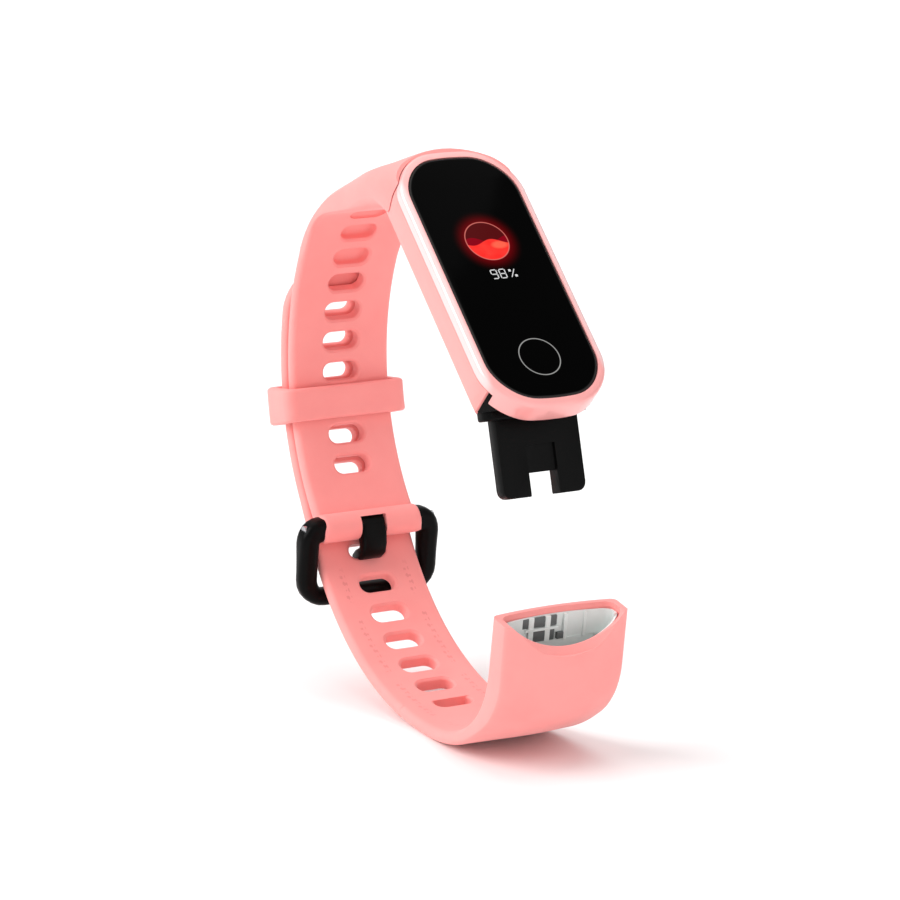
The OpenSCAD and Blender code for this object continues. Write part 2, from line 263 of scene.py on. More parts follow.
def merge(parts: Sequence[bmesh.types.BMesh]) -> bmesh.types.BMesh:
    """Several meshes as one."""
    whole = parts[0]
    for part in parts[1:]:
        scrap = bpy.data.meshes.new("scrap")
        part.to_mesh(scrap)
        part.free()
        whole.from_mesh(scrap)
        bpy.data.meshes.remove(scrap)
    return whole


def cut_plane(bm: bmesh.types.BMesh, point: Vector, normal: Vector) -> None:
    """Removes what lies in front of a plane and closes the cut."""
    done = bmesh.ops.bisect_plane(bm, geom=list(bm.verts) + list(bm.edges) + list(bm.faces), dist=1e-5,
                                  plane_co=point, plane_no=normal, clear_outer=True)
    edges = [e for e in done["geom_cut"] if isinstance(e, bmesh.types.BMEdge)]
    bmesh.ops.contextual_create(bm, geom=edges)


def shaped(bm: bmesh.types.BMesh, stand: Stand, name: str) -> bpy.types.Object:
    """A finished mesh as an object whose place is in its vertices."""
    bmesh.ops.transform(bm, matrix=stand.matrix(), verts=bm.verts)
    mesh = bpy.data.meshes.new(name)
    bm.to_mesh(mesh)
    bm.free()
    obj = bpy.data.objects.new(name, mesh)
    bpy.context.scene.collection.objects.link(obj)
    return obj


def prism(stand: Stand, z0: float, z1: float, w: float, l: float, r: float, y: float = 0.0, x: float = 0.0,
          fine: int = 1, bow: float = 0.0) -> bpy.types.Object:
    """A block of a stand as an object, to carve with or to join."""
    return shaped(block(z0, z1, w, l, r, y, x, fine, bow), stand, "prism")


def carve(obj: bpy.types.Object, cutters: Sequence[bpy.types.Object], operation: str = "DIFFERENCE") -> None:
    """Cuts the cutters out of a piece, or joins them to it, and removes them."""
    for cutter in cutters:
        mod = obj.modifiers.new("cut", "BOOLEAN")
        mod.operation = operation
        mod.solver = "EXACT"
        mod.object = cutter
    settle(obj)
    for cutter in cutters:
        mesh = cutter.data
        bpy.data.objects.remove(cutter)
        bpy.data.meshes.remove(mesh)


def settle(obj: bpy.types.Object) -> None:
    """Makes a piece's modifiers part of its mesh."""
    bpy.context.view_layer.update()
    seen = obj.evaluated_get(bpy.context.evaluated_depsgraph_get())
    mesh = bpy.data.meshes.new_from_object(seen)
    old = obj.data
    obj.modifiers.clear()
    obj.data = mesh
    mesh.name = obj.name
    bpy.data.meshes.remove(old)


def soften(obj: bpy.types.Object, width: float, segments: int = 2, angle: float = 40.0) -> None:
    """Rounds a piece's sharp edges with a bevel in millimetres."""
    mod = obj.modifiers.new("edge", "BEVEL")
    mod.width = width * MM
    mod.segments = segments
    mod.limit_method = "ANGLE"
    mod.angle_limit = math.radians(angle)
    mod.harden_normals = False
    settle(obj)


def finish_piece(obj: bpy.types.Object, body: str, replaced: Sequence[str], paint: "Paint",
                 crease: float) -> None:
    """Shades and dresses a piece and puts it on its body.

    Args:
        obj: The piece.
        body: The body it rides on, or "" if it lies on two bodies and is left unattached.
        replaced: The frame's nodes it stands for.
        paint: Its finish.
        crease: Angle in degrees past which an edge stays sharp.
    """
    obj.data.shade_smooth()
    obj.data.set_sharp_from_angle(angle=math.radians(crease))
    obj.data.materials.clear()
    obj.data.materials.append(paint.get())
    if replaced:
        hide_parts(*replaced)
    replaced[0] if replaced else {"capsule": "display_glass"}.get(body, "latch_spring")
    if body:
        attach(obj, body)
    log.info("%s: %d faces, on %s", obj.name, len(obj.data.polygons), body or "two bodies")


# ---------------------------------------------------------------- finishes


class Val:
    """A shader socket that takes part in Python sums."""

    def __init__(self, shader: "Shader", socket: bpy.types.NodeSocket) -> None:
        """Keeps the socket and the shader it belongs to."""
        self.shader, self.socket = shader, socket

    def op(self, name: str, *values: "Val | float") -> "Val":
        """A Math node of this value and others."""
        return self.shader.math(name, self, *values)

    def __add__(self, other: "Val | float") -> "Val":
        """Sum."""
        return self.op("ADD", other)

    __radd__ = __add__

    def __sub__(self, other: "Val | float") -> "Val":
        """Difference."""
        return self.op("SUBTRACT", other)

    def __rsub__(self, other: float) -> "Val":
        """Difference, reflected."""
        return self.shader.math("SUBTRACT", other, self)

    def __mul__(self, other: "Val | float") -> "Val":
        """Product."""
        return self.op("MULTIPLY", other)

    __rmul__ = __mul__

    def __abs__(self) -> "Val":
        """Size without sign."""
        return self.op("ABSOLUTE")

    def sine(self) -> "Val":
        """Sine of the value in radians."""
        return self.op("SINE")

    def above(self, other: "Val | float") -> "Val":
        """The larger of two values."""
        return self.op("MAXIMUM", other)

    def step(self, low: float, high: float) -> "Val":
        """0 before low and 1 past high, smooth between; high may be below low."""
        rising = low < high
        a, b = (low, high) if rising else (high, low)
        made = self.shader.node("ShaderNodeMapRange", {"interpolation_type": "SMOOTHSTEP"},
                                {"Value": self, "From Min": a, "From Max": b,
                                 "To Min": 0.0 if rising else 1.0, "To Max": 1.0 if rising else 0.0})
        return Val(self.shader, made.outputs["Result"])


class Shader:
    """One node-based material and the shorthand that builds it."""

    def __init__(self, name: str) -> None:
        """Starts a material with a Principled surface."""
        self.material = bpy.data.materials.new(name)
        self.material.use_nodes = True
        self.tree = self.material.node_tree
        self.surface = next(n for n in self.tree.nodes if n.type == "BSDF_PRINCIPLED")

    def node(self, kind: str, settings: Optional[dict] = None, inputs: Optional[dict] = None) -> bpy.types.Node:
        """Adds a node.

        Args:
            kind: The node's type.
            settings: Properties to set first.
            inputs: Values or links of its sockets, by name or number.

        Returns:
            The node.
        """
        made = self.tree.nodes.new(kind)
        for key, value in (settings or {}).items():
            setattr(made, key, value)
        for key, value in (inputs or {}).items():
            self.put(made.inputs[key], value)
        return made

    def put(self, target: bpy.types.NodeSocket, value: object) -> None:
        """Links a value or an output to a socket, or sets a plain value on it."""
        if isinstance(value, (Val, bpy.types.NodeSocket)):
            self.tree.links.new(value.socket if isinstance(value, Val) else value, target)
        else:
            target.default_value = value

    def math(self, operation: str, *values: "Val | float") -> Val:
        """A Math node on values."""
        made = self.node("ShaderNodeMath", {"operation": operation}, dict(enumerate(values)))
        return Val(self, made.outputs[0])

    def away(self, x: Val, y: Val) -> Val:
        """The distance from the origin of a point (x, y)."""
        return self.math("SQRT", x * x + y * y)

    def place(self, stand: Stand) -> tuple[Val, Val, Val]:
        """The surface point in a stand's own millimetres, as x, y and z."""
        where = self.node("ShaderNodeTexCoord").outputs["Object"]
        origin = stand.at(0, 0, 0)
        local = self.node("ShaderNodeMapping", {"vector_type": "TEXTURE"},
                          {"Vector": where, "Location": origin, "Rotation": (math.radians(stand.tilt), 0, 0),
                           "Scale": (MM, MM, MM)})
        split = self.node("ShaderNodeSeparateXYZ", None, {0: local.outputs[0]})
        return Val(self, split.outputs[0]), Val(self, split.outputs[1]), Val(self, split.outputs[2])

    def noise(self, scale: float, detail: float = 2.0, rough: float = 0.5) -> Val:
        """Smooth noise over the object, scale in cycles a metre."""
        where = self.node("ShaderNodeTexCoord").outputs["Object"]
        made = self.node("ShaderNodeTexNoise", None,
                         {"Vector": where, "Scale": scale, "Detail": detail, "Roughness": rough})
        return Val(self, made.outputs["Fac"])

    def mix(self, factor: "Val | float", a: "Sequence | bpy.types.NodeSocket",
            b: "Sequence | bpy.types.NodeSocket") -> bpy.types.NodeSocket:
        """A blend of two colours."""
        made = self.node("ShaderNodeMix", {"data_type": "RGBA"})
        self.put(made.inputs[0], factor)
        for index, value in ((6, a), (7, b)):
            self.put(made.inputs[index], (*value, 1.0) if isinstance(value, tuple) else value)
        return made.outputs[2]

    def feed(self, socket: str, value: "Val | bpy.types.NodeSocket") -> None:
        """Links a varying value to the surface."""
        self.put(self.surface.inputs[socket], value)

    def fix(self, **values: object) -> None:
        """Sets uniform sockets, named with underscores for spaces."""
        for key, value in values.items():
            self.put(self.surface.inputs[key.replace("_", " ")], value)

    def bump(self, height: Val, strength: float, distance: float) -> None:
        """Feeds a height to the normal, distance in metres."""
        made = self.node("ShaderNodeBump", None, {"Height": height, "Strength": strength, "Distance": distance})
        self.feed("Normal", made.outputs["Normal"])


class Finish:
    """A finish that can make its material once."""

    def material(self) -> bpy.types.Material:
        """The finish's material."""
        raise NotImplementedError


@dataclass(frozen=True)
class SoftBand(Finish):
    """Matte moulded elastomer of the straps."""

    name: str = "coral_elastomer"
    colour: tuple = (1.0, 0.345, 0.325)
    deep: tuple = (0.93, 0.26, 0.245)
    marks: bool = False

    def material(self) -> bpy.types.Material:
        """Coral with faint mottling, a fine moulded grain and a dry sheen."""
        s = Shader(self.name)
        mottle = s.noise(160.0, 3.0)
        base = s.mix((mottle - 0.35) * 0.9, self.colour, self.deep)
        if self.marks:
            base = self._tick_rows(s, base)
        s.feed("Base Color", base)
        s.feed("Roughness", 0.56 + 0.12 * s.noise(900.0))
        s.fix(Specular_IOR_Level=0.42, Sheen_Weight=0.25, Sheen_Roughness=0.4)
        s.bump(s.noise(9000.0, 1.0), 0.12, 0.00002)
        return s.material

    def _tick_rows(self, s: Shader, base: bpy.types.NodeSocket) -> bpy.types.NodeSocket:
        """Two faint rows of plain ticks along the inner side of the long strap."""
        x, y, z = s.place(Stand(0.0, (C4.y, C4.z)))
        reach = s.away(y, z)
        turn = s.math("ARCTAN2", z, y)
        row = abs(abs(x) - 5.1).step(0.48, 0.36)
        beat = (turn * 210.0).sine() + (turn * 77.0 + x * 5.0).sine() * 0.7 + (x * 13.0).sine() * 0.5
        word = (turn * 17.0).sine().step(-0.85, -0.7)
        inside = reach.step(36.9, 36.5)
        span = turn.step(-1.75, -1.7) * turn.step(-0.62, -0.7)
        return s.mix(row * beat.step(0.35, 0.7) * word * inside * span * 0.3, base, (0.6, 0.12, 0.12))


@dataclass(frozen=True)
class PearlBezel(Finish):
    """Satin pearlescent paint of the bezel ring."""

    name: str = "pearl_bezel"

    def material(self) -> bpy.types.Material:
        """Pale pink with fine pearl flakes under a clear coat, a painted highlight on its side bands and
        painted shade along its lower seam.
        """
        s = Shader(self.name)
        flake = s.noise(14000.0, 1.0)
        cloud = s.noise(120.0, 2.0)
        x, y, z = s.place(CAPSULE)
        # Painted highlight: the ring's side bands, away from the nose, are blended towards near-white pink.
        painted_highlight_flank = abs(x).step(8.1, 8.8) * y.step(-19.0, -15.0)
        base = s.mix(flake * 0.5 + cloud * 0.2, (1.0, 0.38, 0.365), (1.0, 0.48, 0.46))
        base = s.mix(painted_highlight_flank, base, (1.0, 0.64, 0.63))
        # Painted shade: a grey line along the ring's lower edge, where it meets the case, away from the nose.
        s.feed("Base Color", s.mix(z.step(-1.38, -1.5) * y.step(-18.0, -16.5) * 0.5, base, (0.42, 0.24, 0.24)))
        s.feed("Roughness", 0.27 + 0.1 * flake)
        s.feed("Metallic", 0.18 + 0.14 * flake)
        s.fix(Coat_Weight=0.45, Coat_Roughness=0.16, Specular_IOR_Level=0.55)
        s.bump(flake, 0.05, 0.00001)
        return s.material


@dataclass(frozen=True)
class DisplayFace(Finish):
    """Black cover glass with the lit symbols behind it."""

    name: str = "display_face"
    icon_y: float = 5.6
    icon_r: float = 3.16
    ring_y: float = -13.26
    ring_r: float = 2.86
    half_w: float = 8.2
    half_l: float = 19.7
    corner: float = 5.4

    def material(self) -> bpy.types.Material:
        """Black glass, a rougher rim band painted grey as a highlight, a red liquid gauge and a thin touch
        ring.
        """
        s = Shader(self.name)
        x, y, _ = s.place(CAPSULE)
        v = y - self.icon_y
        away = s.away(x, v)
        disc = away.step(self.icon_r, self.icon_r - 0.1)
        rim = abs(away - (self.icon_r - 0.07)).step(0.11, 0.03)
        wave = (x * 1.15 + 0.9).sine() * 0.42 - 0.15
        back = (x * 1.15 - 2.2).sine() * 0.45 + 0.25
        liquid = (v - wave).step(0.06, -0.06) * disc
        behind = (v - back).step(0.06, -0.06) * disc
        glint = ((x - 1.6) * (x - 1.6) * 0.6 + (v + 0.75) * (v + 0.75) * 2.4).step(1.4, 0.2) * liquid
        halo = away.step(5.4, 2.6)
        halo = halo * halo
        lit = s.mix(halo * 0.55, (0.0, 0.0, 0.0), (0.3, 0.0, 0.004))
        lit = s.mix(disc * 0.9, lit, (0.085, 0.004, 0.005))
        lit = s.mix(behind, lit, (0.26, 0.0, 0.008))
        depth = s.noise(700.0, 2.0)
        lit = s.mix(liquid, lit, s.mix(depth, (1.0, 0.012, 0.012), (1.0, 0.06, 0.045)))
        lit = s.mix(glint * 0.55, lit, (1.0, 0.22, 0.12))
        lit = s.mix(rim * 0.75, lit, (0.8, 0.2, 0.17))
        w = y - self.ring_y
        ring = abs(s.away(x, w) - self.ring_r).step(0.1, 0.03)
        lit = s.mix(ring, lit, (0.36, 0.36, 0.35))
        qx = (abs(x) - (self.half_w - self.corner)).above(0.0)
        qy = (abs(y) + x * x * 0.0178 - (self.half_l - self.corner)).above(0.0)
        edge = s.away(qx, qy) - self.corner
        # Painted highlight: the band round the glass rim is given a grey base colour; the same band is also
        # rougher.
        rim_band = edge.step(-0.45, -0.15)
        s.feed("Base Color", s.mix(rim_band, (0.001, 0.001, 0.001), (0.04, 0.038, 0.037)))
        s.feed("Emission Color", lit)
        s.feed("Roughness", 0.06 + 0.22 * rim_band + 0.03 * s.noise(300.0))
        s.fix(Emission_Strength=1.0, Specular_IOR_Level=0.012, IOR=1.5)
        return s.material


@dataclass(frozen=True)
class Moulded(Finish):
    """Moulded hard plastic."""

    name: str
    colour: tuple
    rough: float = 0.45
    grain: float = 5200.0
    depth: float = 0.00002
    coat: float = 0.0
    shine: float = 0.5

    def material(self) -> bpy.types.Material:
        """A colour with slight flow marks, a fine grain and rubbed patches."""
        s = Shader(self.name)
        flow = s.noise(240.0, 3.0)
        dark = tuple(c * 0.78 for c in self.colour)
        s.feed("Base Color", s.mix((flow - 0.3) * 0.8, self.colour, dark))
        s.feed("Roughness", self.rough - 0.06 + 0.14 * s.noise(1500.0))
        s.fix(Coat_Weight=self.coat, Coat_Roughness=0.2, Specular_IOR_Level=self.shine)
        s.bump(s.noise(self.grain, 2.0), 0.2, self.depth)
        return s.material


@dataclass(frozen=True)
class DrawnMetal(Finish):
    """Bare metal with drawing lines across."""

    name: str
    colour: tuple
    rough: float = 0.32

    def material(self) -> bpy.types.Material:
        """Metal whose tone and gloss change along fine lines."""
        s = Shader(self.name)
        x, _, _ = s.place(CAPSULE)
        lines = (x * 46.0 + s.noise(700.0) * 9.0).sine() * 0.5 + 0.5
        worn = s.noise(380.0, 3.0)
        s.feed("Base Color", s.mix(lines * 0.3 + worn * 0.3, self.colour, tuple(c * 0.7 for c in self.colour)))
        s.feed("Roughness", self.rough + 0.1 * worn)
        s.fix(Metallic=1.0)
        s.bump(lines, 0.08, 0.00001)
        return s.material


@dataclass(frozen=True)
class CircuitBoard(Finish):
    """Board with copper tracks and pads under the solder mask."""

    name: str
    mask: tuple

    def material(self) -> bpy.types.Material:
        """Mask colour with lighter tracks and bright pads."""
        s = Shader(self.name)
        x, y, _ = s.place(CAPSULE)
        track = (x * 7.0 + (y * 1.4).sine() * 2.0).sine().step(0.55, 0.75)
        pad = ((x * 3.1).sine() * (y * 3.1).sine()).step(0.8, 0.9)
        tone = s.mix(track * 0.5, self.mask, tuple(min(1.0, c * 2.2 + 0.02) for c in self.mask))
        s.feed("Base Color", s.mix(pad, tone, (0.75, 0.6, 0.3)))
        s.feed("Metallic", pad * 0.9)
        s.feed("Roughness", 0.42 - 0.15 * pad + 0.08 * s.noise(900.0))
        s.bump(track, 0.2, 0.00003)
        return s.material


@dataclass(frozen=True)
class LitDigits(Finish):
    """Lit white figures."""

    name: str = "lit_digits"

    def material(self) -> bpy.types.Material:
        """White light with the faint grain of the panel."""
        s = Shader(self.name)
        grain = s.noise(9000.0)
        tone = s.mix(grain * 0.3, (0.78, 0.78, 0.78), (0.5, 0.5, 0.52))
        s.feed("Emission Color", tone)
        s.feed("Base Color", s.mix(grain, (0.01, 0.01, 0.01), (0.03, 0.03, 0.03)))
        s.fix(Emission_Strength=0.9, Roughness=0.2)
        return s.material


@dataclass(frozen=True)
class StudioFloor(Finish):
    """Plain pale floor."""

    name: str = "studio_floor"

    def material(self) -> bpy.types.Material:
        """Near white with the slightest unevenness."""
        s = Shader(self.name)
        s.feed("Base Color", s.mix(s.noise(4.0), (0.93, 0.93, 0.93), (0.95, 0.95, 0.95)))
        s.fix(Roughness=0.9, Specular_IOR_Level=0.1)
        return s.material


class Paint(Enum):
    """Every finish of the band, by what it is on."""

    BAND = SoftBand()
    LONG = SoftBand(name="coral_elastomer_ticks", marks=True)
    CASE = SoftBand(name="coral_case", colour=(1.0, 0.36, 0.34), deep=(0.95, 0.29, 0.275))
    BEZEL = PearlBezel()
    FACE = DisplayFace()
    DIGITS = LitDigits()
    BLACK = Moulded("black_plug", (0.003, 0.003, 0.003), 0.36, shine=0.07)
    BUCKLE = Moulded("black_buckle", (0.0025, 0.0025, 0.0025), 0.3, shine=0.07)
    LINER = Moulded("pale_liner", (0.80, 0.84, 0.82), 0.3, coat=0.4)
    CATCH = Moulded("grey_catch", (0.11, 0.12, 0.12), 0.35)
    RUBBER = Moulded("black_gasket", (0.02, 0.02, 0.02), 0.7)
    CHIP = Moulded("chip_resin", (0.03, 0.03, 0.035), 0.5)
    PANEL = Moulded("panel_stack", (0.02, 0.02, 0.025), 0.2, coat=0.5)
    WINDOW = Moulded("optical_window", (0.012, 0.010, 0.014), 0.12, coat=0.8)
    DIODE = Moulded("diode_lens", (0.75, 0.78, 0.55), 0.2, coat=0.6)
    FLEX = Moulded("flex_film", (0.42, 0.18, 0.03), 0.35, coat=0.3)
    CELL = DrawnMetal("cell_foil", (0.62, 0.63, 0.66), 0.38)
    STEEL = DrawnMetal("spring_steel", (0.5, 0.5, 0.52), 0.3)
    PLATE = DrawnMetal("mid_plate", (0.45, 0.46, 0.48), 0.42)
    GOLD = DrawnMetal("gold_contact", (0.83, 0.58, 0.22), 0.26)
    BOARD = CircuitBoard("main_circuit", (0.01, 0.09, 0.05))
    SENSOR = CircuitBoard("sensor_circuit", (0.01, 0.05, 0.12))

    def get(self) -> bpy.types.Material:
        """The finish's material, made on first use."""
        made = bpy.data.materials.get(self.value.name)
        return made or self.value.material()


# ---------------------------------------------------------------- capsule


def belly(radius: float) -> bpy.types.Object:
    """The round bar that gives the capsule its belly."""
    spots = [(Vector((0, y, BELLY_Z)), radius) for y in (-24.0, 0.0, 24.0)]
    return shaped(tube(spots, X, Z, 24), CAPSULE, "belly")


@dataclass
class Capsule:
    """The display capsule: bezel ring, cover glass, lower case and sensor lens."""

    width: float = 18.5
    length: float = 41.8
    corner: float = 6.4
    glass_w: float = 16.4
    glass_l: float = 39.4
    glass_r: float = 5.4
    nose: float = 3.6
    belly: float = 10.72
    rebate: tuple = (16.5, 39.5, 5.45)
    rim_band: float = 0.4
    rise: float = 0.36
    figures: str = "98"

    def build(self) -> None:
        """Builds and dresses every piece of the capsule."""
        self.bezel()
        self.glass()
        self.case()
        self.lens()
        self.digits()

    def bezel(self) -> None:
        """The painted ring, deeper at the plug end."""
        outline = (self.width, self.length, self.corner)
        ring = soft_block(*outline, -1.6, 0.0, 0.12, 0.5, fine=12, steps=4, bow=BOW)
        ring = shaped(ring, CAPSULE, "bezel_ring")
        nose = soft_block(*outline, -self.nose, -0.8, 0.6, 0.0, fine=12, steps=4, bow=BOW)
        cut_plane(nose, Vector((0, -17.4, 0)), Vector((0, 1, 0)))
        carve(ring, [shaped(nose, CAPSULE, "nose")], "UNION")
        carve(ring, [prism(CAPSULE, -0.95, 1.0, *self.rebate, fine=12, bow=BOW),
                     prism(CAPSULE, -9.0, 0.5, *OPENING, fine=12, bow=BOW)])
        finish_piece(ring, "capsule", ["bezel_frame"], Paint.BEZEL, 35)

    def glass(self) -> None:
        """The cover glass with its rounded, curved edge."""
        levels = [(-0.9, self.glass_w, self.glass_l, self.glass_r)]
        for i in range(7):
            a = math.pi / 2 * i / 6
            cut = self.rim_band * (1 - math.cos(a))
            levels.append((-self.rise + self.rise * math.sin(a), self.glass_w - 2 * cut, self.glass_l - 2 * cut,
                           self.glass_r - cut))
        pane = shaped(stack(levels, fine=14, bow=BOW), CAPSULE, "cover_glass")
        finish_piece(pane, "capsule", ["display_glass"], Paint.FACE, 40)

    def case(self) -> None:
        """The soft lower shell with its round belly."""
        hull = shaped(soft_block(self.width, self.length - 0.4, 6.2, -10.6, -1.65, 0.8, 0.12, fine=12, steps=3,
                                 bow=BOW), CAPSULE, "lower_shell")
        carve(hull, [belly(self.belly)], "INTERSECT")
        inner = stack([(-7.1, 11.0, 38.0, 5.0), (-4.0, *OPENING), (-1.0, 16.1, 39.0, 5.2)], fine=8)
        carve(hull, [shaped(inner, CAPSULE, "inner"), prism(CAPSULE, -13.0, 0.5, 30.0, 12.0, 0.3, y=-22.6),
                     prism(CAPSULE, -12.0, -6.0, 7.2, 11.2, 1.35, fine=6),
                     prism(PLUG, -30.0, -10.0, 15.9, 3.4, 1.3, y=-0.1, fine=6),
                     prism(PLUG, -30.0, -18.6, 24.0, 40.0, 0.3),
                     prism(PLUG, -30.0, -15.2, 24.0, 18.8, 0.3, y=10.6),
                     prism(LUG, -1.2, 1.2, 10.2, 12.0, 0.3)])
        finish_piece(hull, "capsule", ["lower_case"], Paint.CASE, 35)

    def lens(self) -> None:
        """The optical window on the wrist side."""
        pane = soft_block(7.0, 11.0, 1.25, -11.5, -9.0, 0.35, 0.0, fine=6)
        rim = block(-9.0, -8.62, 8.4, 12.4, 1.8, fine=6)
        pane = shaped(merge([pane, rim]), CAPSULE, "sensor_lens")
        finish_piece(pane, "capsule", ["sensor_window"], Paint.WINDOW, 40)

    def digits(self) -> None:
        """A plain level reading under the gauge, in seven-bar figures."""
        bars = {"9": "abcdfg", "8": "abcdefg"}
        places = {"a": (0, 2), "g": (0, 1), "d": (0, 0), "f": (-1, 1.5), "b": (1, 1.5), "e": (-1, 0.5),
                  "c": (1, 0.5)}
        thin, flat_l, tall_l = 0.15, 0.7, 0.62
        parts = []
        for column, figure in enumerate(self.figures):
            for bar in bars[figure]:
                px, py = places[bar]
                size = (flat_l, thin) if bar in "agd" else (thin, tall_l)
                parts.append(self._bar(-1.35 + column * 1.25 + px * 0.42, 0.25 + py * 0.7, *size))
        for px, py in ((1.05, 1.35), (1.75, 0.45)):
            parts.append(self._bar(px, py, 0.36, 0.36))
        slash = self._bar(0, 0, 0.13, 1.5)
        bmesh.ops.rotate(slash, verts=slash.verts, cent=(0, 0, 0), matrix=Matrix.Rotation(-0.55, 3, "Z"))
        bmesh.ops.translate(slash, verts=slash.verts, vec=(1.4, 0.9, 0))
        whole = merge(parts + [slash])
        bmesh.ops.translate(whole, verts=whole.verts, vec=(0.25, -0.75, 0.0))
        piece = shaped(whole, CAPSULE, "level_digits")
        finish_piece(piece, "capsule", [], Paint.DIGITS, 40)

    @staticmethod
    def _bar(x: float, y: float, w: float, l: float) -> bmesh.types.BMesh:
        """One lit bar, flush in the glass."""
        return block(-0.06, 0.012, w, l, 0.06, y, x, fine=2)


# ---------------------------------------------------------------- plug


@dataclass
class Plug:
    """The black charging plug under the bezel's nose."""

    width: float = 12.3
    slot: float = 4.3
    belly: float = 10.42

    def build(self) -> None:
        """Builds and dresses the collar and the tongue."""
        self.collar()
        self.tongue()

    def collar(self) -> None:
        """The wider collar that closes the socket's mouth."""
        collar = soft_block(15.5, 3.1, 1.2, -18.8, -15.45, 0.3, 0.1, y=-0.1, fine=6)
        collar = shaped(collar, PLUG, "plug_collar")
        cap = shaped(soft_block(17.9, 40.8, 5.9, -10.0, -1.7, 0.5, 0.1, fine=12, bow=BOW), CAPSULE, "cap")
        carve(cap, [prism(CAPSULE, -3.65, 2.0, 30.0, 12.0, 0.3, y=-23.35),
                    prism(CAPSULE, -3.95, 2.0, 15.4, 38.2, 5.0, fine=6)])
        reach = soft_block(15.3, 3.0, 1.2, -18.8, 8.0, 0.3, 0.1, y=-0.15, fine=6)
        wide = prism(PLUG, -17.6, 8.0, 24.0, 24.0, 0.3)
        carve(wide, [shaped(reach, PLUG, "reach")], "UNION")
        for tool in (belly(self.belly), prism(CAPSULE, -13.0, 0.5, 30.0, 12.0, 0.3, y=-22.65), wide):
            carve(cap, [tool], "INTERSECT")
        carve(collar, [cap], "UNION")
        carve(collar, [prism(PLUG, -30, 0, 12.4, 2.3, 0.1)])
        finish_piece(collar, "capsule", ["plug_flange"], Paint.BLACK, 35)

    def tongue(self) -> None:
        """The tongue with its open tip slot, blind pocket and contact channels."""
        bm = Loft(corner=4, wide=2, deep=2).build([
            Section(Vector((0, y, -21.73)), X, Z, self.width - 2 * cut, 14.66 - 2 * cut, 1.15)
            for y, cut in ((-1.1, 0.22), (-1.03, 0.07), (-0.9, 0.0), (0.9, 0.0), (1.03, 0.07), (1.1, 0.22))])
        blade = shaped(bm, PLUG, "plug_tongue")
        cutters = [prism(PLUG, -40.0, -26.0, self.slot, 6.0, 0.2, fine=2),
                   prism(PLUG, -26.3, -22.4, self.slot, 3.0, 0.2, y=-2.0, fine=2)]
        cutters += [prism(PLUG, -27.4, -14.6, 1.1, 2.2, 0.05, y=1.9, x=x) for x in (-3.6, -1.2, 1.2, 3.6)]
        carve(blade, cutters)
        soften(blade, 0.14, 2, 60)
        finish_piece(blade, "capsule", ["plug_blade"], Paint.BLACK, 35)


# ---------------------------------------------------------------- straps


@dataclass
class Path:
    """The two sides of a strap in the side view, walked from one end to the other."""

    stations: list[tuple[Vector, Vector]] = field(default_factory=list)

    def arc(self, centre: Vector, r_in: float, r_out: float, a0: float, a1: float, step: float = 1.6) -> "Path":
        """Adds stations along concentric arcs."""
        count = max(2, math.ceil(abs(a1 - a0) / step))
        for i in range(count + 1):
            a = a0 + (a1 - a0) * i / count
            self.add(centre + ray(a) * r_in, centre + ray(a) * r_out)
        return self

    def add(self, inner: Vector, outer: Vector) -> "Path":
        """Adds one station unless it repeats the last."""
        last = self.stations[-1] if self.stations else None
        if not last or (last[0] - inner).length + (last[1] - outer).length > 0.2:
            self.stations.append((inner, outer))
        return self


